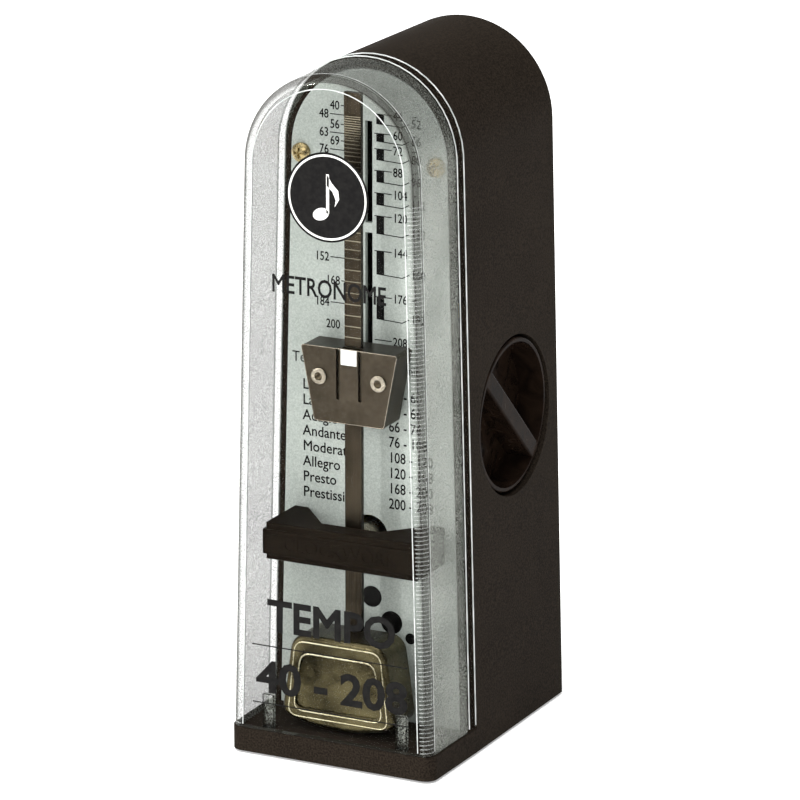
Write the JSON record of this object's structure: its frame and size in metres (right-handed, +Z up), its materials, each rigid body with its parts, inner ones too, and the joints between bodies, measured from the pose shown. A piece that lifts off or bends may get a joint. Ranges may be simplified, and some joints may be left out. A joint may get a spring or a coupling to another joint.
{
  "type": "metronome",
  "caption": "Pocket-size clockwork metronome: dark arched case, clear lift-off front cover, upright pendulum rod with a sliding weight before a tempo scale, and a recessed winding knob.",
  "frame": {"origin": "middle of the footprint, on the surface the rubber feet stand on", "axes": "+Z up; -Y is the front with the clear cover; the winding knob is on the +X side; the rod is in the plane x = 0"},
  "size_m": [0.0518, 0.0698, 0.16],
  "materials": {
    "case_plastic": "fine spark-grain moulded near-black plastic",
    "black_plastic": "fine-grained near-black plastic",
    "gloss_plastic": "glossy near-black plastic",
    "clear_cover": "clear moulded plastic, polished front, finely grained sides",
    "scale_grey": "pale blue-grey fine-grained plastic with black print",
    "rubber": "soft black rubber",
    "nickel_steel": "satin nickel-plated steel",
    "weight_zinc": "satin plated zinc",
    "white_paint": "white print",
    "brass": "satin brass",
    "counterweight_brass": "satin brass-tone lacquer over die-cast metal",
    "frame_steel": "zinc-plated pressed steel",
    "spring_steel": "blued spring steel",
    "screw_brass": "brass-tone plated screw",
    "screw_steel": "zinc-plated screw"
  },
  "bodies": {
    "case": {"case_shell": "case_plastic", "base_plate": "black_plastic", "rubber_feet": "rubber", "base_screws": "screw_steel", "scale_plate": "scale_grey", "scale_plate_screws": "screw_brass", "pendulum_bracket": "black_plastic", "bracket_screws": "screw_steel", "frame_plate_left": "frame_steel", "frame_plate_right": "frame_steel", "frame_pillars": "brass", "pillar_screws": "screw_steel", "frame_screws": "screw_steel", "spring_barrel": "brass", "barrel_screws": "screw_steel", "barrel_cap": "brass", "mainspring": "spring_steel", "crown_wheel_cock": "brass", "cock_screws": "screw_steel", "pallet_rear_cock": "brass"},
    "cover": {"front_cover": "clear_cover"},
    "pendulum": {"pendulum_rod": "nickel_steel", "pallet_arbor": "frame_steel", "rod_hub": "brass", "counterweight": "counterweight_brass"},
    "sliding_weight": {"sliding_weight_body": "weight_zinc", "sliding_weight_clip": "weight_zinc", "weight_rivets": "nickel_steel", "weight_index_mark": "white_paint"},
    "great_train": {"great_wheel": "brass", "click_stud": "frame_steel"},
    "winding_group": {"winding_arbor": "frame_steel", "ratchet_wheel": "frame_steel", "winding_knob": "gloss_plastic"},
    "click": {"click": "frame_steel", "click_spring": "spring_steel"},
    "second_train": {"second_pinion": "frame_steel", "second_wheel": "brass"},
    "escape_train": {"crown_pinion": "frame_steel", "crown_wheel": "brass"}
  },
  "joints": [
    {"name": "pendulum_swing", "type": "hinge", "parent": "case", "child": "pendulum", "pos_m": [0, 0, 0.0495], "axis": [0, 1, 0], "range_deg": [-5, 5]},
    {"name": "weight_slide", "type": "slide", "parent": "pendulum", "child": "sliding_weight", "axis": [0, 0, 1], "range_m": [0, 0.0535]},
    {"name": "cover_tilt", "type": "hinge", "parent": "case", "child": "cover", "pos_m": [0, -0.03485, 0.0062], "axis": [1, 0, 0], "range_deg": [0, 30]},
    {"name": "great_wheel_turn", "type": "hinge", "parent": "case", "child": "great_train", "pos_m": [0, 0.01085, 0.074], "axis": [1, 0, 0], "continuous": true},
    {"name": "winding_turn", "type": "hinge", "parent": "great_train", "child": "winding_group", "pos_m": [0, 0.01085, 0.074], "axis": [1, 0, 0], "continuous": true},
    {"name": "click_lift", "type": "hinge", "parent": "great_train", "child": "click", "pos_m": [0, 0.01085, 0.0836], "axis": [1, 0, 0], "range_deg": [0, 10], "stiffness_Nm_per_rad": 0.0002, "springref_deg": -17.19},
    {"name": "second_wheel_turn", "type": "hinge", "parent": "case", "child": "second_train", "pos_m": [0, 0.01645, 0.05689], "axis": [1, 0, 0], "continuous": true},
    {"name": "escape_wheel_turn", "type": "hinge", "parent": "case", "child": "escape_train", "pos_m": [0, 0.00515, 0.0495], "axis": [1, 0, 0], "continuous": true}
  ],
  "couplings": [
    {"joint": "second_wheel_turn", "follows": "escape_wheel_turn", "ratio": -0.25},
    {"joint": "great_wheel_turn", "follows": "escape_wheel_turn", "ratio": 0.05}
  ]
}
